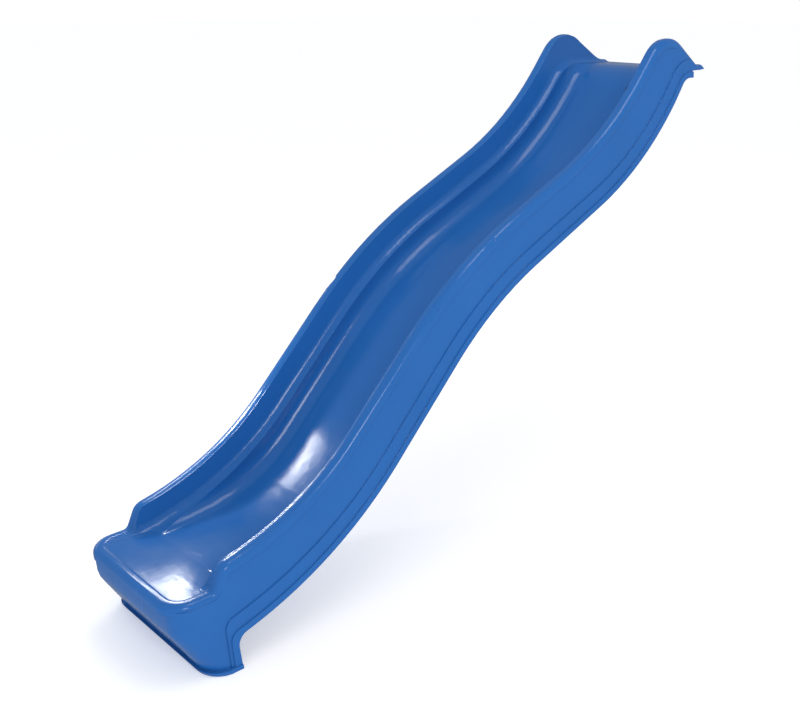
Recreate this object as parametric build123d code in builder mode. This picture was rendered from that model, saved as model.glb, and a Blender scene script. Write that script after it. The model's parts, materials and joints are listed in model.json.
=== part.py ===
from build123d import *
import os
from math import cos, radians, sin

os.makedirs("parts", exist_ok=True)

# ---------------------------------------------------------------- driving dimensions (mm)
# The slide runs along Y: platform at +Y, exit at -Y. X = 0 is the middle plane, Z = 0 the ground.
SKIN = 4.5                 # wall of the moulding
PLATFORM = 1200.0          # underside of the platform flange above the ground
PLATFORM_EDGE = 847.0      # face of the platform's edge board
FLANGE_END = 922.0
RAIL_X = 180.0             # middle of each rail bead
HEAD_Y = 968.0             # construction lines start here, behind the flange
BEAD_W = 36.0              # bead width
BEAD_H = 24.0              # bead height
WALL_TOP = 14.0            # walls end inside the bead, this far under its crown
SKIRT_X = 194.0            # outer wall, half width at the rail
DRAFT = 0.082              # outward lean of the skirt per mm of depth
JOGGLE = 3.0               # outward step of the skirt at each step line
RIM_Y = -901.0             # middle of the exit rim bead
RIM_CORNER = 46.0
RIB_PITCH = 112.0
RIB_T = 3.5
RIB_DROP = 15.0            # ribs hang this far under the deck skin

# Tangent legs, read downhill: (length,) is straight, (radius, turn) is an arc in degrees.
EAR_LEGS = [(40.0, -32.8), (100.0,), (100.0, 84.0), (60.5,)]
WAVE_LEGS = [(822.0, -26.6), (222.5,), (1170.0, 20.5), (275.9,), (686.0, -34.2)]
RAIL_END_LEGS = [(35.0, 54.0), (36.5,), (12.0, -64.9)]
DECK_LEGS = [
    (136.0,), (130.0, 51.2), (27.8,), (934.0, -26.6), (222.5,),
    (1058.0, 20.5), (330.0,), (430.0, -36.0), (1000.0, -9.1), (300.0,),
]
SHOULDER_LEGS = [
    (214.5,), (100.0, 51.2), (884.0, -26.6), (222.5,), (1108.0, 20.5), (275.9,), (748.0, -44.1), (300.0,),
]
GUIDE_LEGS = [
    (84.9,), (330.0, 51.2), (822.0, -26.6), (222.5,), (1170.0, 20.5),
    (275.9,), (686.0, -34.2), (150.0,), (300.0, -10.9), (250.0,),
]
SPUR = (PLATFORM_EDGE, 1181.0)
SKIRT_LEGS = [
    (19.0,), (38.0, 53.9), (45.0,), (823.0, -29.5), (278.0,), (935.0, 21.5), (284.0,), (948.0, -31.0),
]
SKIRT_END_SLOPE = 14.9
HEEL_LEGS = [(18.0,), (30.0, 79.0), (90.0,)]
STEP_HEEL_LEGS = [(34.0,), (27.0, 77.0), (190.0,)]
STEP_LIFTS = [50.0, 16.0]  # step lines above the skirt's lower edge

# Exit end, from under the lip down past the ground: height, half width, front, corner radius.
FOOT_SECTIONS = [
    (250.0, 194.8, -909.0, 46.0),
    (150.0, 203.0, -908.0, 50.0),
    (130.0, 204.6, -906.5, 51.0),
    (115.0, 205.9, -902.5, 52.0),
    (100.0, 207.1, -894.5, 53.0),
    (0.0, 215.3, -836.0, 58.0),
    (-50.0, 219.4, -806.7, 60.0),
]


# ---------------------------------------------------------------- tangent chains in the YZ plane
def flow(start, slope, legs, gap=0.0):
    """Pieces of a tangent chain run downhill; gap moves it square to itself, underneath."""
    heading = radians(180.0 + slope)
    here = (start[0] - gap * sin(heading), start[1] + gap * cos(heading))
    pieces = []
    for leg in legs:
        if len(leg) == 1:
            there = (here[0] + leg[0] * cos(heading), here[1] + leg[0] * sin(heading))
            pieces.append((here, there))
        else:
            side = 1.0 if leg[1] > 0 else -1.0
            radius = leg[0] - side * gap
            hub = (here[0] - side * radius * sin(heading), here[1] + side * radius * cos(heading))
            half = heading + radians(leg[1]) / 2
            heading += radians(leg[1])
            middle = (hub[0] + side * radius * sin(half), hub[1] - side * radius * cos(half))
            there = (hub[0] + side * radius * sin(heading), hub[1] - side * radius * cos(heading))
            pieces.append((here, middle, there))
        here = there
    return pieces


def draw(pieces):
    for piece in pieces:
        if len(piece) == 2:
            Line(*piece)
        else:
            ThreePointArc(*piece)


def rail_line(gap=0.0, setback=0.0):
    """Crown of the rail from the flange over the ear and down the wave to the exit rim."""
    start = (FLANGE_END - setback, PLATFORM + 13.0)
    legs = [(20.2 - setback,)] + EAR_LEGS + WAVE_LEGS + RAIL_END_LEGS
    return flow(start, 0.0, legs, gap)


def deck_line(gap=0.0):
    return flow((HEAD_Y, PLATFORM + SKIN), 0.0, DECK_LEGS, gap)


RIM_Z = rail_line()[-1][-1][1]

# Water feed: a through-deck spray fitting beside the right-hand wall, near the top of the deck.
FEED_X = 92.0
FEED_SLOPE = 51.2
FEED_TOP, FEED_LOW = deck_line()[2]
FEED = Plane(
    origin=(FEED_X, (FEED_TOP[0] + FEED_LOW[0]) / 2, (FEED_TOP[1] + FEED_LOW[1]) / 2),
    x_dir=(1, 0, 0),
    z_dir=(0, -sin(radians(FEED_SLOPE)), cos(radians(FEED_SLOPE))),
)
PAD = -0.5                 # spot-faced seat of the spray fitting, measured from the deck
BOSS = -7.0                # underside of the boss
SHANK_R = 13.2
RUN = -52.0                # height of the valve run under the deck
VALVE = -57.0              # valve centre along the run

PLATFORM_SCREW_X = [-110.0, 0.0, 110.0]
PLATFORM_SCREW_Y = 884.0
FOOT_SCREW_X = [-184.0, 184.0]
FOOT_SCREW_Y = -800.0
LUG_T = 6.0
SPIGOT_R = 6.4             # for half-inch hose


def square_to(line):
    """Section plane at the head of a path: local x across the slide, local y upward."""
    return Plane(line @ 0, x_dir=(1, 0, 0), z_dir=line % 0)


# ---------------------------------------------------------------- skirts, apron and foot
def skirt_edge(gap, heel_legs):
    """Lower edge of the skirt, or a line parallel to it, down past the ground."""
    upper = flow(SPUR, 0.0, SKIRT_LEGS, gap)
    return upper + flow(upper[-1][-1], SKIRT_END_SLOPE, heel_legs)


def foot_blank(grow):
    """Exit end: rounded in plan, its front upright under the lip and then leaning back."""
    with BuildPart() as blank:
        for height, half, front, corner in FOOT_SECTIONS:
            with BuildSketch(Plane.XY.offset(height)) as outline:
                with Locations((0, front - grow + 1100.0)):
                    Rectangle(2 * (half + grow), 2200.0)
                fillet(outline.vertices().sort_by(Axis.Y)[:2], corner + grow / 2)
        loft(ruled=True)
        with Locations((0, 718, 650)):
            Box(600, 3000, 1400)
        with Locations((0, 0, 850)):
            Box(600, 4000, 1200)
    return blank.part


def skirted(step, inset):
    """Drafted body between the skirts for one joggle step."""
    half = SKIRT_X + JOGGLE * step - inset
    deep = 290.0
    foot = foot_blank(JOGGLE * step - inset)
    with BuildPart() as body:
        with BuildLine(Plane.YZ) as guide:
            draw(flow((HEAD_Y, 1328.1), 0.0, GUIDE_LEGS))
        with BuildSketch(square_to(guide.line)):
            with BuildLine():
                wide = half + deep * DRAFT
                Polyline((-half, 0), (half, 0), (wide, -deep), (-wide, -deep), close=True)
            make_face()
        sweep()
        if step in (1, 2):
            line = skirt_edge(inset - STEP_LIFTS[step - 1], STEP_HEEL_LEGS)
            top = line[0][0]
            low = line[-1][-1]
            with BuildSketch(Plane.YZ):
                with BuildLine():
                    draw(line)
                    Polyline(low, (low[0], -100), (1000, -100), (1000, top[1]), top)
                make_face()
            extrude(amount=300, both=True, mode=Mode.INTERSECT)
        if step == 3:
            with Locations((0, -800, -50 - inset / 2)):
                Box(500, 400, 120, mode=Mode.INTERSECT)
        add(foot, mode=Mode.INTERSECT)
    return body.part


def walls(inset):
    """Double walls, foot and apron; with an inset, the hollow inside them, open underneath."""
    top = rail_line(WALL_TOP + inset)
    start = top[0][0]
    end = top[-1][-1]
    layers = [skirted(step, inset) for step in range(4)]
    with BuildPart() as body:
        for layer in layers:
            add(layer)
        with BuildSketch(Plane.YZ):
            with BuildLine():
                draw(top)
                if inset:
                    web = PLATFORM_EDGE - inset
                    Polyline(end, (-1000, end[1]), (-1000, -60), (web, -60), (web, PLATFORM))
                    Polyline((web, PLATFORM), (PLATFORM_EDGE, PLATFORM), (PLATFORM_EDGE, 1190))
                    Polyline((PLATFORM_EDGE, 1190), (start[0], 1190), start)
                else:
                    edge = skirt_edge(0.0, HEEL_LEGS)
                    heel = edge[-1][-1]
                    Polyline(end, (-1000, end[1]), (-1000, -60), (heel[0], -60), heel)
                    draw(edge)
                    Polyline(SPUR, (PLATFORM_EDGE, 1190), (start[0], 1190), start)
            make_face()
        extrude(amount=300, both=True, mode=Mode.INTERSECT)
    return body.part


def middle(inset):
    """Block between the beads that carries the deck right up to the crown of the rim."""
    top = rail_line(2.2 + inset)
    end = top[-1][-1]
    with BuildPart() as body:
        with BuildSketch(Plane.YZ):
            with BuildLine():
                draw(top)
                deck = deck_line(30.0)
                Polyline(end, (deck[-1][-1][0], end[1]), deck[-1][-1])
                draw(deck)
                Polyline(deck[0][0], (HEAD_Y, top[0][0][1]), top[0][0])
            make_face()
        extrude(amount=RAIL_X - 10 - inset, both=True)
        with BuildSketch() as plan:
            with Locations((0, RIM_Y + 10 + inset + 1100)):
                Rectangle(2 * (RAIL_X - 10 - inset), 2200)
            fillet(plan.vertices().sort_by(Axis.Y)[:2], RIM_CORNER - 10 - inset)
        extrude(amount=1400, mode=Mode.INTERSECT)
    return body.part


# ---------------------------------------------------------------- trough
def trough(grow):
    """Space the user slides in; grow enlarges it by the skin."""
    with BuildPart() as upper:
        with BuildLine(Plane.YZ) as floor:
            draw(flow((HEAD_Y, PLATFORM + 4.0), 0.0, SHOULDER_LEGS, grow))
        with BuildSketch(square_to(floor.line)):
            with BuildLine():
                for side in (-1, 1):
                    Line((0, 0), (side * (136 + grow), 0))
                    Spline(
                        (side * (136 + grow), 0), (side * (158 + grow), 20),
                        tangents=[(side, 0.25), (side * 0.3, 1)],
                    )
                    Line((side * (158 + grow), 20), (side * (166 + grow), 62))
                    Line((side * (166 + grow), 62), (side * (166 + grow), 300))
                Line((-166 - grow, 300), (166 + grow, 300))
            make_face()
        sweep()
        with BuildSketch(Plane.YZ):
            with BuildLine():
                deck = deck_line(grow)
                draw(deck)
                Polyline(deck[-1][-1], (deck[-1][-1][0], 1500), (HEAD_Y, 1500), deck[0][0])
            make_face()
        extrude(amount=300, both=True, mode=Mode.INTERSECT)
        with BuildSketch() as plan:
            with Locations((0, RIM_Y + 14 - grow + 1100)):
                Rectangle(2 * (RAIL_X - 14 + grow), 2200)
            fillet(plan.vertices().sort_by(Axis.Y)[:2], RIM_CORNER - 14 + grow)
        extrude(amount=1600, mode=Mode.INTERSECT)
    with BuildPart() as lower:
        with BuildLine(Plane.YZ) as floor:
            draw(deck_line(grow))
        with BuildSketch(square_to(floor.line)):
            with BuildLine():
                for side in (-1, 1):
                    Line((0, 0), (side * 100, 0))
                    RadiusArc((side * 100, 0), (side * (138 + grow), 38 + grow), -side * (38 + grow))
                    Line((side * (138 + grow), 38 + grow), (side * (138 + grow), 66))
                Line((-138 - grow, 66), (138 + grow, 66))
            make_face()
        sweep()
        with BuildSketch() as plan:
            with Locations((0, RIM_Y + 14 - grow + 1100)):
                Rectangle(600, 2200)
        extrude(amount=1600, mode=Mode.INTERSECT)
    with BuildPart() as space:
        add(upper.part)
        add(lower.part)
    return space.part


# ---------------------------------------------------------------- rail and rim bead
def bead_section(inset):
    half = BEAD_W / 2 - inset
    drop = BEAD_H if inset == 0 else WALL_TOP + inset + 3
    with Locations((0, -(drop + inset) / 2)):
        Rectangle(2 * half, drop - inset)


def bead(inset):
    """Rounded bead along both rails, over the ears and round the exit rim."""
    with BuildPart() as body:
        for side in (-1, 1):
            with BuildLine(Plane.YZ.offset(side * RAIL_X)) as crown:
                draw(rail_line(0.0, 1.8 * inset))
                last = rail_line()[-1][-1]
                Line(last, (-842, last[1]))
            with BuildSketch(square_to(crown.line)) as section:
                bead_section(inset)
                fillet(section.vertices().sort_by(Axis.Y)[-2:], BEAD_W / 2 - 3 - inset)
            sweep()
        with BuildLine(Plane.XY.offset(RIM_Z)) as rim:
            corner = RIM_Y + RIM_CORNER
            near = Line((RAIL_X, -842), (RAIL_X, corner))
            turn = JernArc(near @ 1, near % 1, RIM_CORNER, -90)
            front = Line(turn @ 1, (-RAIL_X + RIM_CORNER, RIM_Y))
            back = JernArc(front @ 1, front % 1, RIM_CORNER, -90)
            Line(back @ 1, (-RAIL_X, -842))
        with BuildSketch(square_to(rim.line)) as section:
            bead_section(inset)
            fillet(section.vertices().sort_by(Axis.Y)[-2:], BEAD_W / 2 - 3 - inset)
        sweep()
    return body.part


# ---------------------------------------------------------------- what stays solid in the hollow
def ribs():
    """Cross ribs square to the wave, tying deck, walls and skirts together."""
    with BuildLine(Plane.YZ) as guide:
        draw(flow((HEAD_Y, 1328.1), 0.0, GUIDE_LEGS))
    with BuildPart() as body:
        for count in range(19):
            here = 262.0 + count * RIB_PITCH
            at = guide.wire().position_at(here, position_mode=PositionMode.LENGTH)
            along = guide.wire().tangent_at(here, position_mode=PositionMode.LENGTH)
            with Locations(Plane(at, x_dir=(1, 0, 0), z_dir=along)):
                Box(500, 520, RIB_T)
        with BuildSketch(Plane.YZ):
            with BuildLine():
                deck = deck_line(SKIN + RIB_DROP)
                draw(deck)
                Polyline(deck[-1][-1], (deck[-1][-1][0], 1500), (HEAD_Y, 1500), deck[0][0])
            make_face()
        extrude(amount=300, both=True, mode=Mode.INTERSECT)
        with Locations(FEED.offset(-57)):
            with Locations((0, -40, 0)):
                Box(74, 170, 106, mode=Mode.SUBTRACT)
    return body.part


# ---------------------------------------------------------------- chute
outer_bodies = [walls(0.0), middle(0.0)]
inner_bodies = [walls(SKIN), middle(SKIN)]
outer_trough = trough(0.0)
inner_trough = trough(SKIN)
outer_bead = bead(0.0)
inner_bead = bead(SKIN)
rib_set = ribs()

with BuildPart() as hollow:
    for inner in inner_bodies:
        add(inner)
    add(inner_trough, mode=Mode.SUBTRACT)
    add(rib_set, mode=Mode.SUBTRACT)
    with Locations((0, PLATFORM_EDGE - SKIN / 2, PLATFORM - 100)):
        Box(500, SKIN, 200, mode=Mode.SUBTRACT)
    with Locations([(x, FOOT_SCREW_Y, LUG_T / 2) for x in FOOT_SCREW_X]):
        Box(56, 60, LUG_T, mode=Mode.SUBTRACT)
    with BuildSketch(FEED.offset(BOSS)):
        Circle(23)
    extrude(amount=6, mode=Mode.SUBTRACT)
    add(inner_bead)

with BuildPart() as chute:
    for outer in outer_bodies:
        add(outer)
    add(outer_trough, mode=Mode.SUBTRACT)
    add(outer_bead)
    with Locations((0, PLATFORM_EDGE + 100, PLATFORM - 100)):
        Box(500, 200, 200, mode=Mode.SUBTRACT)
    with Locations((0, 0, -100)):
        Box(600, 2400, 200, mode=Mode.SUBTRACT)
    with BuildSketch(Plane.YZ):
        with BuildLine():
            Polyline((912.3, 1214), (912.3, 1216), (980, 1216), (980, 1190), (925.5, 1190), (912.3, 1214))
        make_face()
    extrude(amount=300, both=True, mode=Mode.SUBTRACT)
    add(hollow.part, mode=Mode.SUBTRACT)
    with Locations([(x, PLATFORM_SCREW_Y, PLATFORM + SKIN) for x in PLATFORM_SCREW_X]):
        CounterSinkHole(radius=3.3, counter_sink_radius=6.2, depth=30)
    with Locations([(x, FOOT_SCREW_Y, LUG_T) for x in FOOT_SCREW_X]):
        Hole(radius=4.5, depth=20)
    with BuildSketch(FEED.offset(PAD)):
        Circle(20.5)
    extrude(amount=12, mode=Mode.SUBTRACT)
    with BuildSketch(FEED.offset(-20)):
        Circle(SHANK_R + 0.3)
    extrude(amount=30, mode=Mode.SUBTRACT)
chute.part.label = "chute"
export_step(chute.part, "parts/chute.step")


# ---------------------------------------------------------------- fixing screws
def countersunk_screw():
    """Countersunk screw, head flush at z = 0, hexagon socket."""
    with BuildPart() as screw:
        with BuildSketch(Plane.XZ):
            with BuildLine():
                Polyline((0, -1.0), (5.3, -1.0), (3.0, -3.65), (3.0, -40.0))
                Polyline((3.0, -40.0), (0.6, -45.0), (0, -45.0), (0, -1.0))
            make_face()
        revolve(axis=Axis.Z)
        with BuildSketch(Plane.XY.offset(-3.2)):
            RegularPolygon(radius=2.3, side_count=6)
        extrude(amount=4, mode=Mode.SUBTRACT)
    return screw.part


countersunk = countersunk_screw()

with BuildPart() as platform_screws:
    with Locations([(x, PLATFORM_SCREW_Y, PLATFORM + SKIN) for x in PLATFORM_SCREW_X]):
        add(countersunk)
platform_screws.part.label = "platform_screws"
export_step(platform_screws.part, "parts/platform_screws.step")

with BuildPart() as screw_plugs:
    with Locations([(x, PLATFORM_SCREW_Y, PLATFORM + SKIN) for x in PLATFORM_SCREW_X]):
        with Locations((0, 0, -0.55)):
            Cone(bottom_radius=5.3, top_radius=6.05, height=0.9)
        with Locations((0, 0, -2.0)):
            Cylinder(radius=1.9, height=2.0)
screw_plugs.part.label = "screw_plugs"
export_step(screw_plugs.part, "parts/screw_plugs.step")


# ---------------------------------------------------------------- turned shapes of the feed
def turned(plane, profile):
    """Body of revolution about the plane's normal; profile is (radius, height) corners."""
    with BuildPart() as body:
        with BuildSketch(Plane(plane.origin, x_dir=plane.x_dir, z_dir=-plane.y_dir)):
            with BuildLine():
                Polyline(*profile, close=True)
            make_face()
        revolve(axis=Axis(plane.origin, plane.z_dir))
    return body.part


def feed_point(x, y, z):
    return FEED.from_local_coords((x, y, z))


RUN_PLANE = Plane(feed_point(0, 0, RUN), x_dir=FEED.x_dir, z_dir=-FEED.y_dir)
STEM_PLANE = Plane(feed_point(0, VALVE, RUN), x_dir=FEED.y_dir, z_dir=-FEED.x_dir)

# ---------------------------------------------------------------- spray fitting through the deck
spray_turned = turned(FEED, [
    (8.5, -30.0), (SHANK_R, -30.0), (SHANK_R, 1.0), (19.0, 1.0), (19.0, 3.2), (15.5, 5.0), (14.0, 10.0),
    (12.0, 10.0), (12.0, 8.0), (10.5, 8.0), (10.5, 3.5), (6.5, 3.5), (6.5, -21.0), (8.5, -21.0),
])
with BuildPart() as spray_body:
    add(spray_turned)
    slot_plane = Location(Plane(feed_point(0, 0, 5.6), x_dir=FEED.x_dir, z_dir=FEED.z_dir))
    for angle in (-144, -117, -90, -63, -36):
        with Locations(slot_plane * Rot(0, 0, angle)):
            with Locations((13, 0, 0)):
                Box(10, 3.4, 2.2, mode=Mode.SUBTRACT)
spray_body.part.label = "spray_body"
export_step(spray_body.part, "parts/spray_body.step")

cap_turned = turned(FEED, [(0, 8.0), (11.95, 8.0), (11.95, 9.6), (11.2, 10.4), (0, 10.8)])
with BuildPart() as spray_cap:
    add(cap_turned)
    with BuildSketch(FEED.offset(10.0)):
        Rectangle(14, 1.6)
    extrude(amount=2, mode=Mode.SUBTRACT)
spray_cap.part.label = "spray_cap"
export_step(spray_cap.part, "parts/spray_cap.step")

screen_turned = turned(FEED, [(0, -22.0), (8.4, -22.0), (8.4, -21.0), (0, -21.0)])
with BuildPart() as inlet_screen:
    add(screen_turned)
    with BuildSketch(FEED.offset(-23)):
        with GridLocations(2.6, 2.6, 4, 4):
            Rectangle(1.9, 1.9)
    extrude(amount=3, mode=Mode.SUBTRACT)
inlet_screen.part.label = "inlet_screen"
export_step(inlet_screen.part, "parts/inlet_screen.step")

deck_gasket_turned = turned(FEED, [(SHANK_R + 0.2, PAD), (18.0, PAD), (18.0, 1.0), (SHANK_R + 0.2, 1.0)])
with BuildPart() as deck_gasket:
    add(deck_gasket_turned)
deck_gasket.part.label = "deck_gasket"
export_step(deck_gasket.part, "parts/deck_gasket.step")

deck_washer_turned = turned(FEED, [
    (SHANK_R + 0.2, BOSS - 2), (21.0, BOSS - 2), (21.0, BOSS), (SHANK_R + 0.2, BOSS),
])
with BuildPart() as deck_washer:
    add(deck_washer_turned)
deck_washer.part.label = "deck_washer"
export_step(deck_washer.part, "parts/deck_washer.step")

with BuildPart() as locknut:
    with BuildSketch(FEED.offset(BOSS - 10)):
        RegularPolygon(radius=18.0, side_count=6, major_radius=False)
        Circle(SHANK_R + 0.05, mode=Mode.SUBTRACT)
    extrude(amount=8)
locknut.part.label = "locknut"
export_step(locknut.part, "parts/locknut.step")

# ---------------------------------------------------------------- elbow and its union
union_washer_turned = turned(FEED, [(7.5, -32.0), (11.5, -32.0), (11.5, -30.0), (7.5, -30.0)])
with BuildPart() as union_washer:
    add(union_washer_turned)
union_washer.part.label = "union_washer"
export_step(union_washer.part, "parts/union_washer.step")

elbow_riser = turned(FEED, [(0, RUN), (9.5, RUN), (9.5, -35.0), (11.7, -35.0), (11.7, -32.0), (0, -32.0)])
elbow_outlet = turned(RUN_PLANE, [(0, 0), (9.5, 0), (9.5, 20.0), (10.4, 20.0), (10.4, 40.0), (0, 40.0)])
elbow_bore_a = turned(FEED, [(0, RUN), (6.5, RUN), (6.5, -30.0), (0, -30.0)])
elbow_bore_b = turned(RUN_PLANE, [(0, 0), (6.5, 0), (6.5, 50.0), (0, 50.0)])
with BuildPart() as elbow:
    add(elbow_riser)
    add(elbow_outlet)
    with Locations(Location(RUN_PLANE.origin)):
        Sphere(9.5)
    add(elbow_bore_a, mode=Mode.SUBTRACT)
    add(elbow_bore_b, mode=Mode.SUBTRACT)
    with Locations(Location(RUN_PLANE.origin)):
        Sphere(6.5, mode=Mode.SUBTRACT)
elbow.part.label = "elbow"
export_step(elbow.part, "parts/elbow.step")

collar_bore = turned(FEED, [(0, -40), (9.8, -40), (9.8, -35.1), (13.25, -35.1), (13.25, -15), (0, -15)])
with BuildPart() as union_collar:
    with BuildSketch(FEED.offset(-39)):
        Circle(17.5)
        with PolarLocations(17.8, 18):
            Circle(1.3, mode=Mode.SUBTRACT)
    extrude(amount=19)
    add(collar_bore, mode=Mode.SUBTRACT)
union_collar.part.label = "union_collar"
export_step(union_collar.part, "parts/union_collar.step")

# ---------------------------------------------------------------- shut-off valve
BALL = -VALVE
valve_outer = turned(RUN_PLANE, [
    (0, 26), (13.5, 26), (13.5, 41), (16.5, 45), (16.5, 70), (13.5, 74), (13.5, 86), (0, 86),
])
valve_bore = turned(RUN_PLANE, [
    (0, 20), (10.45, 20), (10.45, 42), (6.5, 42), (6.5, 46), (11.0, 46), (11.0, 90), (0, 90),
])
with BuildPart() as valve_body:
    add(valve_outer)
    with BuildSketch(STEM_PLANE.offset(10)):
        Circle(8.5)
    extrude(amount=11)
    add(valve_bore, mode=Mode.SUBTRACT)
    with BuildSketch(STEM_PLANE.offset(9)):
        Circle(4.05)
    extrude(amount=20, mode=Mode.SUBTRACT)
valve_body.part.label = "valve_body"
export_step(valve_body.part, "parts/valve_body.step")

with BuildPart() as valve_ball:
    with Locations(Location(STEM_PLANE.origin)):
        Sphere(10.0)
    with BuildSketch(RUN_PLANE.offset(BALL - 15)):
        Circle(5.0)
    extrude(amount=30, mode=Mode.SUBTRACT)
    with BuildSketch(STEM_PLANE.offset(7.2)):
        Rectangle(30, 3.0)
    extrude(amount=5, mode=Mode.SUBTRACT)
valve_ball.part.label = "valve_ball"
export_step(valve_ball.part, "parts/valve_ball.step")

with BuildPart() as valve_seats:
    for low in (46.0, 64.0):
        with BuildSketch(RUN_PLANE.offset(low)):
            Circle(10.95)
            Circle(5.5, mode=Mode.SUBTRACT)
        extrude(amount=4)
    with Locations(Location(STEM_PLANE.origin)):
        Sphere(10.02, mode=Mode.SUBTRACT)
valve_seats.part.label = "valve_seats"
export_step(valve_seats.part, "parts/valve_seats.step")

stem_turned = turned(STEM_PLANE, [
    (0, 10.05), (4.0, 10.05), (4.0, 14.0), (2.9, 14.0), (2.9, 16.2), (4.0, 16.2), (4.0, 21.5), (3.0, 21.5),
    (3.0, 27.0), (1.6, 27.0), (1.6, 20.0), (0, 20.0),
])
with BuildPart() as valve_stem:
    add(stem_turned)
    with BuildSketch(STEM_PLANE.offset(7.4)):
        Rectangle(7.2, 2.9)
    extrude(amount=2.7)
valve_stem.part.label = "valve_stem"
export_step(valve_stem.part, "parts/valve_stem.step")

with BuildPart() as stem_oring:
    with Locations(Location(STEM_PLANE.offset(15.1))):
        Torus(3.45, 0.55)
stem_oring.part.label = "stem_oring"
export_step(stem_oring.part, "parts/stem_oring.step")

with BuildPart() as valve_lever:
    with BuildSketch(STEM_PLANE.offset(21.5)):
        Circle(8.0)
        with Locations((-26, 0)):
            SlotOverall(56, 12)
    extrude(amount=5.5)
    with BuildSketch(STEM_PLANE.offset(20)):
        Circle(3.02)
    extrude(amount=10, mode=Mode.SUBTRACT)
valve_lever.part.label = "valve_lever"
export_step(valve_lever.part, "parts/valve_lever.step")

lever_screw_turned = turned(STEM_PLANE, [
    (0, 21.0), (1.55, 21.0), (1.55, 27.0), (4.5, 27.0), (4.5, 28.4), (3.4, 29.6), (1.4, 29.6), (1.4, 28.2),
    (0, 28.2),
])
with BuildPart() as lever_screw:
    add(lever_screw_turned)
lever_screw.part.label = "lever_screw"
export_step(lever_screw.part, "parts/lever_screw.step")

# ---------------------------------------------------------------- hose tail
tail_turned = turned(RUN_PLANE, [
    (5.0, 68), (10.95, 68), (10.95, 92), (SPIGOT_R, 92), (SPIGOT_R, 116), (SPIGOT_R - 0.8, 117.5),
    (5.0, 117.5),
])
with BuildPart() as hose_tail:
    add(tail_turned)
    with BuildSketch(RUN_PLANE.offset(87.5)):
        RegularPolygon(radius=13.5, side_count=6, major_radius=False)
        Circle(9.0, mode=Mode.SUBTRACT)
    extrude(amount=6)
hose_tail.part.label = "hose_tail"
export_step(hose_tail.part, "parts/hose_tail.step")

tail_washer_turned = turned(RUN_PLANE, [(11.0, 86), (13.3, 86), (13.3, 87.5), (11.0, 87.5)])
with BuildPart() as tail_washer:
    add(tail_washer_turned)
tail_washer.part.label = "tail_washer"
export_step(tail_washer.part, "parts/tail_washer.step")
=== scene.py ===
import json
import math

import bpy
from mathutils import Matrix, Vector

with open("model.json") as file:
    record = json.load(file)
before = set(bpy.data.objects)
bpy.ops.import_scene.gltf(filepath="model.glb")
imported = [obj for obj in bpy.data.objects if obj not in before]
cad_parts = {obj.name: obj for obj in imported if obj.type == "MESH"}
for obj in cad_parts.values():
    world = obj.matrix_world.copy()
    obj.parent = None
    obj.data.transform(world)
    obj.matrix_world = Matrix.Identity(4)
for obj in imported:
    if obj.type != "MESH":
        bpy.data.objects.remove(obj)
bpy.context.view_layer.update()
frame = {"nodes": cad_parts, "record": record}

scene = bpy.context.scene
nodes = frame["nodes"]

# ---------------------------------------------------------------- camera
AZIMUTH = math.radians(47.6)       # turned from +Y towards -X
ELEVATION = math.radians(20.1)     # looking down
CAMERA_PLACE = (1.8333, -1.7643, 1.4238)
LENS_MM = 45.3
SENSOR_MM = 36.0
CAMERA_REACH = 100.0

camera_data = bpy.data.cameras.new("camera")
camera_data.lens = LENS_MM
camera_data.sensor_width = SENSOR_MM
camera_data.clip_end = CAMERA_REACH
camera = bpy.data.objects.new("camera", camera_data)
camera.location = CAMERA_PLACE
forward = Vector((
    -math.sin(AZIMUTH) * math.cos(ELEVATION),
    math.cos(AZIMUTH) * math.cos(ELEVATION),
    -math.sin(ELEVATION),
))
camera.rotation_mode = "QUATERNION"
camera.rotation_quaternion = forward.to_track_quat("-Z", "Y")
scene.collection.objects.link(camera)
scene.camera = camera

# ---------------------------------------------------------------- light and floor
ZENITH = 0.62              # brightness of the room overhead
HORIZON = 1.04             # and level with the floor
ROOM_IN_GLOSS = 0.32       # the dimmer room that the glossy plastic mirrors
BACKDROP = 1.05            # the white behind the slide
FLOOR_HALF = 40.0
FLOOR_GAP = 0.0005         # the floor lies this far under the foot
FLOOR_GLOW = 0.30
WHITE = (1.0, 1.0, 1.0, 1.0)

scene.view_settings.view_transform = "Standard"
world = bpy.data.worlds.new("studio")
scene.world = world
world.use_nodes = True
room = world.node_tree.nodes
wire = world.node_tree.links.new
diffuse_room = room["Background"]
diffuse_room.inputs["Color"].default_value = (0.98, 0.99, 1.0, 1.0)
gloss_room = room.new("ShaderNodeBackground")
gloss_room.inputs["Color"].default_value = (0.92, 0.96, 1.0, 1.0)
gloss_room.inputs["Strength"].default_value = ROOM_IN_GLOSS
white_room = room.new("ShaderNodeBackground")
white_room.inputs["Strength"].default_value = BACKDROP
white_room.inputs["Color"].default_value = WHITE
place = room.new("ShaderNodeTexCoord")
split = room.new("ShaderNodeSeparateXYZ")
height = room.new("ShaderNodeMapRange")
height.inputs["From Min"].default_value = 0.0
height.inputs["From Max"].default_value = 1.0
height.inputs["To Min"].default_value = HORIZON
height.inputs["To Max"].default_value = ZENITH
wire(place.outputs["Generated"], split.inputs["Vector"])
wire(split.outputs["Z"], height.inputs["Value"])
wire(height.outputs["Result"], diffuse_room.inputs["Strength"])
ray = room.new("ShaderNodeLightPath")
glossy_or_not = room.new("ShaderNodeMixShader")
seen_or_not = room.new("ShaderNodeMixShader")
wire(ray.outputs["Is Glossy Ray"], glossy_or_not.inputs["Fac"])
wire(diffuse_room.outputs["Background"], glossy_or_not.inputs[1])
wire(gloss_room.outputs["Background"], glossy_or_not.inputs[2])
wire(ray.outputs["Is Camera Ray"], seen_or_not.inputs["Fac"])
wire(glossy_or_not.outputs["Shader"], seen_or_not.inputs[1])
wire(white_room.outputs["Background"], seen_or_not.inputs[2])
wire(seen_or_not.outputs["Shader"], room["World Output"].inputs["Surface"])


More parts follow.
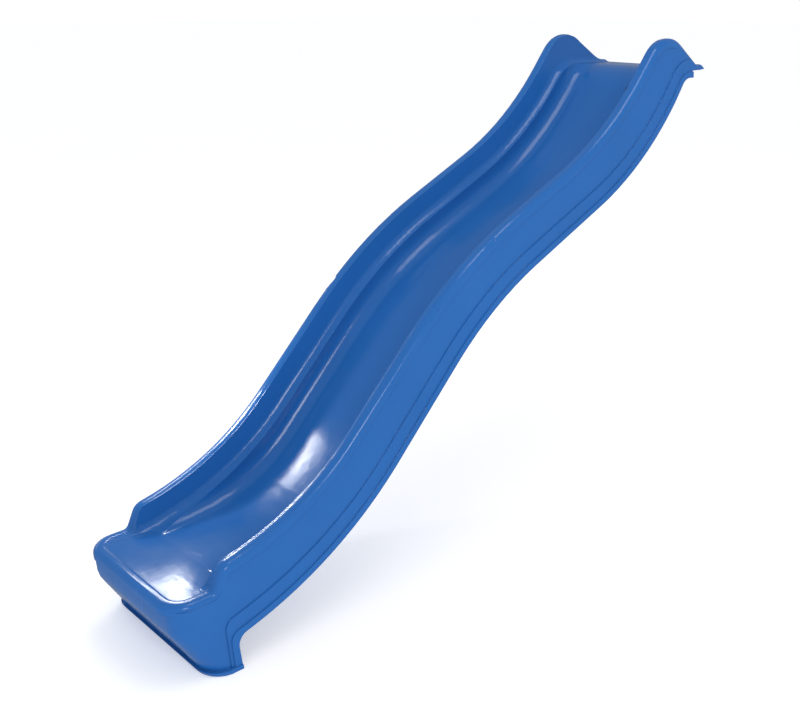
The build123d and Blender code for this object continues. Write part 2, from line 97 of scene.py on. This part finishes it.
def softbox(name, target, towards, distance, size, radiance, shape="RECTANGLE"):
    """Area light that faces target from the direction towards; the camera doesn't see it."""
    data = bpy.data.lights.new(name, "AREA")
    data.shape = shape
    data.size = size[0]
    data.size_y = size[1]
    data.energy = radiance * math.pi * size[0] * size[1]
    light = bpy.data.objects.new(name, data)
    towards = Vector(towards).normalized()
    light.location = Vector(target) + towards * distance
    light.rotation_mode = "QUATERNION"
    light.rotation_quaternion = (-towards).to_track_quat("-Z", "Y")
    light.visible_camera = False
    scene.collection.objects.link(light)


# Round highlight where the wave runs out into the level stretch.
softbox(
    "run_out_box", target=(-0.053, -0.392, 0.309), towards=(-0.73, -0.350, 0.587),
    distance=0.5, size=(0.07, 0.07), radiance=24.0, shape="DISK",
)
# Bright patch on the level exit plate, behind the rim.
softbox(
    "exit_box", target=(0.085, -0.895, 0.195), towards=(-0.752, 0.378, 0.540),
    distance=0.7, size=(0.20, 0.04), radiance=22.0,
)
# Long light lines on the rail beads.
softbox(
    "left_strip", target=(0.0, 0.2, 0.6), towards=(-1.0, 0.18, 0.17),
    distance=3.2, size=(4.0, 0.40), radiance=1.6,
)
softbox(
    "overhead_box", target=(-0.1, 0.0, 0.6), towards=(0.30, 0.02, 1.0),
    distance=3.0, size=(1.0, 1.4), radiance=3.2,
)
# Lights the near skirt and the convex edges of the far shoulder.
softbox(
    "side_fill", target=(0.2, 0.0, 0.6), towards=(1.0, -0.55, 0.55),
    distance=3.6, size=(0.9, 0.9), radiance=8.0,
)

floor_corners = [
    (-FLOOR_HALF, -FLOOR_HALF, 0), (FLOOR_HALF, -FLOOR_HALF, 0),
    (FLOOR_HALF, FLOOR_HALF, 0), (-FLOOR_HALF, FLOOR_HALF, 0),
]
floor_mesh = bpy.data.meshes.new("floor")
floor_mesh.from_pydata(floor_corners, [], [(0, 1, 2, 3)])
floor = bpy.data.objects.new("floor", floor_mesh)
floor.location.z = -FLOOR_GAP
scene.collection.objects.link(floor)
floor.visible_glossy = False    # so that the glossy plastic mirrors the dimmer room


# ---------------------------------------------------------------- materials
EDGE_SAMPLES = 4


class Finish:
    """A Principled material and short ways to add procedural detail to it."""

    def __init__(self, name, roughness=0.4, metallic=0.0, **sockets):
        self.material = bpy.data.materials.new(name)
        self.material.use_nodes = True
        self.nodes = self.material.node_tree.nodes
        self.link = self.material.node_tree.links.new
        self.shader = self.nodes["Principled BSDF"]
        self.shader.inputs["Roughness"].default_value = roughness
        self.shader.inputs["Metallic"].default_value = metallic
        for socket, value in sockets.items():
            self.shader.inputs[socket.replace("_", " ")].default_value = value
        self.position = self.nodes.new("ShaderNodeTexCoord").outputs["Object"]
        self.normal = None

    def math(self, operation, first, second=None, clamp=False):
        node = self.nodes.new("ShaderNodeMath")
        node.operation = operation
        node.use_clamp = clamp
        for socket, value in zip(node.inputs, (first, second)):
            if value is None:
                continue
            if isinstance(value, (int, float)):
                socket.default_value = value
            else:
                self.link(value, socket)
        return node.outputs[0]

    def stretch(self, scale, rotation=(0, 0, 0)):
        node = self.nodes.new("ShaderNodeMapping")
        node.inputs["Scale"].default_value = scale
        node.inputs["Rotation"].default_value = rotation
        self.link(self.position, node.inputs["Vector"])
        return node.outputs["Vector"]

    def noise(self, scale, detail=2.0, roughness=0.5, vector=None):
        node = self.nodes.new("ShaderNodeTexNoise")
        node.inputs["Scale"].default_value = scale
        node.inputs["Detail"].default_value = detail
        node.inputs["Roughness"].default_value = roughness
        self.link(vector or self.position, node.inputs["Vector"])
        return node.outputs["Fac"]

    def spread(self, value, from_low, from_high, low, high):
        """Maps from_low..from_high linearly to low..high and clamps outside."""
        node = self.nodes.new("ShaderNodeMapRange")
        numbers = {"From Min": from_low, "From Max": from_high, "To Min": low, "To Max": high}
        for socket, number in numbers.items():
            node.inputs[socket].default_value = number
        self.link(value, node.inputs["Value"])
        return node.outputs["Result"]

    def mix(self, factor, first, second):
        """Colour between first and second."""
        node = self.nodes.new("ShaderNodeMix")
        node.data_type = "RGBA"
        self.link(factor, node.inputs["Factor"])
        for name, value in (("A", first), ("B", second)):
            socket = [s for s in node.inputs if s.name == name and s.type == "RGBA"][0]
            if isinstance(value, tuple):
                socket.default_value = (*value, 1.0)
            else:
                self.link(value, socket)
        return [s for s in node.outputs if s.type == "RGBA"][0]

    def bump(self, height, depth):
        """Adds relief that is depth metres high where the height input goes from 0 to 1."""
        node = self.nodes.new("ShaderNodeBump")
        node.inputs["Distance"].default_value = depth
        self.link(height, node.inputs["Height"])
        if self.normal:
            self.link(self.normal, node.inputs["Normal"])
        self.normal = node.outputs["Normal"]

    def soften(self, radius):
        """Shades sharp edges as if they were rounded by the radius; comes before any bump."""
        node = self.nodes.new("ShaderNodeBevel")
        node.samples = EDGE_SAMPLES
        node.inputs["Radius"].default_value = radius
        self.normal = node.outputs["Normal"]

    def finish(self, colour, roughness=None):
        self.link(colour, self.shader.inputs["Base Color"])
        if roughness:
            self.link(roughness, self.shader.inputs["Roughness"])
        if self.normal:
            self.link(self.normal, self.shader.inputs["Normal"])
        return self.material


# Guide line of the wave, as in the CAD: metres and degrees, read downhill.
GUIDE_START = (0.968, 1.3281)
GUIDE_LEGS = [
    (0.0849,), (0.330, 51.2), (0.822, -26.6), (0.2225,), (1.170, 20.5),
    (0.2759,), (0.686, -34.2), (0.150,), (0.300, -10.9), (0.250,),
]
FIRST_RIB = 0.262
RIB_PITCH = 0.112
RIBS = 19
SINK_HALF_WIDTH = 0.0075
SINK_DEPTH = 0.00008

# Where bodies slide over the deck.
WORN_HALF_WIDTH = (0.125, 0.145)   # full wear inside the first, none beyond the second
EXIT_WEAR = (-0.70, -0.82)         # scuffs start at the first and are full from the second
SCRATCH_BLUE = (0.16, 0.32, 0.60)
SCUFF_BLUE = (0.012, 0.03, 0.07)


def along_guide(distance):
    """Point and downhill direction in the YZ plane at a distance along the guide line."""
    y, z = GUIDE_START
    heading = math.pi
    for leg in GUIDE_LEGS:
        turn = math.radians(leg[1]) if len(leg) == 2 else 0.0
        length = leg[0] * abs(turn) if turn else leg[0]
        part = min(distance, length)
        if turn:
            side = math.copysign(1.0, turn)
            angle = side * part / leg[0]
            y += side * leg[0] * (math.sin(heading + angle) - math.sin(heading))
            z -= side * leg[0] * (math.cos(heading + angle) - math.cos(heading))
            heading += angle
        else:
            y += part * math.cos(heading)
            z += part * math.sin(heading)
        distance -= part
        if distance <= 0:
            break
    return (y, z), (math.cos(heading), math.sin(heading))


def sink_marks(f):
    """Faint hollows across the deck, one over each rib behind it."""
    marks = None
    for count in range(RIBS):
        (y, z), (ty, tz) = along_guide(FIRST_RIB + count * RIB_PITCH)
        plane = f.nodes.new("ShaderNodeVectorMath")
        plane.operation = "DOT_PRODUCT"
        plane.inputs[1].default_value = (0.0, ty, tz)
        f.link(f.position, plane.inputs[0])
        offset = f.math("SUBTRACT", plane.outputs["Value"], y * ty + z * tz)
        near = f.math("DIVIDE", offset, SINK_HALF_WIDTH)
        bell = f.math("POWER", math.e, f.math("MULTIPLY", f.math("MULTIPLY", near, near), -1.0))
        marks = bell if marks is None else f.math("MAXIMUM", marks, bell)
    patchy = f.spread(f.noise(7.0, 1.0), 0.35, 0.65, 0.35, 1.0)
    f.bump(f.math("MULTIPLY", marks, patchy), -SINK_DEPTH)


def slide_wear(f, colour, rough):
    """Lengthwise scratches on the deck and dark scuffs near the exit; returns colour and roughness."""
    split = f.nodes.new("ShaderNodeSeparateXYZ")
    f.link(f.position, split.inputs["Vector"])
    inside = f.spread(f.math("ABSOLUTE", split.outputs["X"]), *WORN_HALF_WIDTH, 1.0, 0.0)
    streaks = f.spread(f.noise(1.0, 4.0, 0.65, f.stretch((330.0, 5.0, 5.0))), 0.60, 0.72, 0.0, 1.0)
    where = f.spread(f.noise(4.0, 2.0, 0.5), 0.42, 0.62, 0.0, 1.0)
    scratch = f.math("MULTIPLY", f.math("MULTIPLY", streaks, where), inside, clamp=True)
    colour = f.mix(f.math("MULTIPLY", scratch, 0.10), colour, SCRATCH_BLUE)
    rough = f.math("ADD", rough, f.math("MULTIPLY", scratch, 0.16))

    specks = f.nodes.new("ShaderNodeTexVoronoi")
    specks.inputs["Scale"].default_value = 62.0
    f.link(f.position, specks.inputs["Vector"])
    dots = f.spread(specks.outputs["Distance"], 0.07, 0.15, 1.0, 0.0)
    few = f.spread(f.noise(17.0, 1.0), 0.60, 0.64, 0.0, 1.0)
    at_exit = f.spread(split.outputs["Y"], *EXIT_WEAR, 0.0, 1.0)
    on_plate = f.math("MULTIPLY", at_exit, inside)
    scuffs = f.math("MULTIPLY", f.math("MULTIPLY", dots, few), on_plate, clamp=True)
    colour = f.mix(f.math("MULTIPLY", scuffs, 0.75), colour, SCUFF_BLUE)
    rough = f.math("ADD", rough, f.math("MULTIPLY", scuffs, 0.3))
    return colour, rough


def hdpe(name, dark, light, wear):
    """Glossy moulded polyethylene: gentle waves and orange peel; on the slide also sink marks and wear."""
    f = Finish(name, roughness=0.2, Specular_IOR_Level=0.42)
    f.soften(0.0016)
    f.bump(f.noise(5.5, 1.0, 0.4), 0.0012)
    f.bump(f.noise(19.0, 2.0, 0.5), 0.0005)
    if wear:
        sink_marks(f)
    f.bump(f.noise(310.0, 2.0, 0.5), 0.000035)
    broad = f.spread(f.noise(3.2, 3.0, 0.55), 0.3, 0.7, 0.0, 1.0)
    colour = f.mix(broad, dark, light)
    rough = f.spread(f.noise(14.0, 3.0, 0.6), 0.3, 0.7, 0.13, 0.20)
    if wear:
        colour, rough = slide_wear(f, colour, rough)
    return f.finish(colour, rough)


def satin_plastic(name, dark, light, roughness):
    """Moulded fitting plastic with a fine spark-eroded grain."""
    f = Finish(name, roughness=roughness)
    f.bump(f.noise(900.0, 2.0, 0.6), 0.00006)
    f.bump(f.noise(60.0, 2.0), 0.0001)
    colour = f.mix(f.spread(f.noise(45.0, 4.0, 0.6), 0.3, 0.7, 0.0, 1.0), dark, light)
    return f.finish(colour, f.spread(f.noise(160.0, 3.0), 0.3, 0.7, roughness - 0.06, roughness + 0.08))


def turned_metal(name, dark, light, roughness, grain=(60.0, 60.0, 900.0), relief=0.00002):
    """Machined or plated metal with fine tool marks and slight staining."""
    f = Finish(name, roughness=roughness, metallic=1.0)
    lay = f.noise(1.0, 3.0, 0.6, f.stretch(grain))
    f.bump(lay, relief)
    colour = f.mix(f.spread(f.noise(85.0, 4.0, 0.6), 0.3, 0.7, 0.0, 1.0), dark, light)
    return f.finish(colour, f.spread(lay, 0.3, 0.7, roughness - 0.06, roughness + 0.10))


def rubber(name):
    """Matte black seal rubber."""
    f = Finish(name, roughness=0.7)
    f.bump(f.noise(1400.0, 2.0, 0.6), 0.00004)
    colour = f.mix(f.noise(70.0, 3.0), (0.016, 0.016, 0.017), (0.034, 0.033, 0.032))
    return f.finish(colour, f.spread(f.noise(220.0, 2.0), 0.3, 0.7, 0.62, 0.82))


stage_floor = Finish("floor", roughness=0.9, Specular_IOR_Level=0.1)
stage_floor.shader.inputs["Emission Color"].default_value = WHITE
stage_floor.shader.inputs["Emission Strength"].default_value = FLOOR_GLOW
floor_white = stage_floor.mix(stage_floor.noise(0.6, 3.0), (0.925, 0.925, 0.925), (0.95, 0.95, 0.95))
floor_mesh.materials.append(stage_floor.finish(floor_white))

finishes = {
    "hdpe_blue": hdpe("hdpe_blue", (0.0165, 0.1230, 0.405), (0.0195, 0.1340, 0.440), wear=True),
    "lever_plastic": hdpe("lever_plastic", (0.020, 0.120, 0.40), (0.026, 0.135, 0.44), wear=False),
    "feed_plastic": satin_plastic("feed_plastic", (0.020, 0.022, 0.025), (0.036, 0.039, 0.043), 0.42),
    "seat_plastic": satin_plastic("seat_plastic", (0.74, 0.73, 0.69), (0.84, 0.83, 0.80), 0.38),
    "steel": turned_metal("steel", (0.52, 0.53, 0.54), (0.66, 0.66, 0.64), 0.30),
    "stainless": turned_metal("stainless", (0.56, 0.56, 0.55), (0.70, 0.70, 0.69), 0.28),
    "chrome_ball": turned_metal(
        "chrome_ball", (0.68, 0.68, 0.69), (0.78, 0.78, 0.78), 0.12, relief=0.000004,
    ),
    "brass": turned_metal("brass", (0.58, 0.41, 0.17), (0.74, 0.55, 0.26), 0.26),
    "rubber": rubber("rubber"),
}


# ---------------------------------------------------------------- shading of the CAD surfaces
JOIN_DISTANCE = 0.00002
SHARP_ANGLE = math.radians(24.0)
AREA_WEIGHT = 90


def crease_group(name, angle):
    """Joins the CAD faces and keeps an edge sharp where they meet at more than the angle."""
    group = bpy.data.node_groups.new(name, "GeometryNodeTree")
    group.interface.new_socket("Geometry", in_out="INPUT", socket_type="NodeSocketGeometry")
    group.interface.new_socket("Geometry", in_out="OUTPUT", socket_type="NodeSocketGeometry")
    add = group.nodes.new
    start, end = add("NodeGroupInput"), add("NodeGroupOutput")
    merge = add("GeometryNodeMergeByDistance")
    faces, edges = add("GeometryNodeSetShadeSmooth"), add("GeometryNodeSetShadeSmooth")
    merge.inputs["Distance"].default_value = JOIN_DISTANCE
    edges.domain = "EDGE"
    turn, compare = add("GeometryNodeInputMeshEdgeAngle"), add("FunctionNodeCompare")
    compare.operation = "LESS_THAN"
    compare.inputs[1].default_value = angle
    link = group.links.new
    link(start.outputs[0], merge.inputs["Geometry"])
    link(merge.outputs["Geometry"], faces.inputs["Geometry"])
    link(faces.outputs["Geometry"], edges.inputs["Geometry"])
    link(turn.outputs["Unsigned Angle"], compare.inputs[0])
    link(compare.outputs["Result"], edges.inputs["Shade Smooth"])
    link(edges.outputs["Geometry"], end.inputs[0])
    return group


creases = crease_group("creases", SHARP_ANGLE)
slots = {part["node"]: part["material_slot"] for part in frame["record"]["subparts"]}
for name, node in nodes.items():
    node.data.materials.clear()
    node.data.materials.append(finishes[slots[name]])
    node.modifiers.new("creases", "NODES").node_group = creases
    weighted = node.modifiers.new("weighted", "WEIGHTED_NORMAL")
    weighted.keep_sharp = True
    weighted.weight = AREA_WEIGHT
    for polygon in node.data.polygons:
        polygon.use_smooth = True
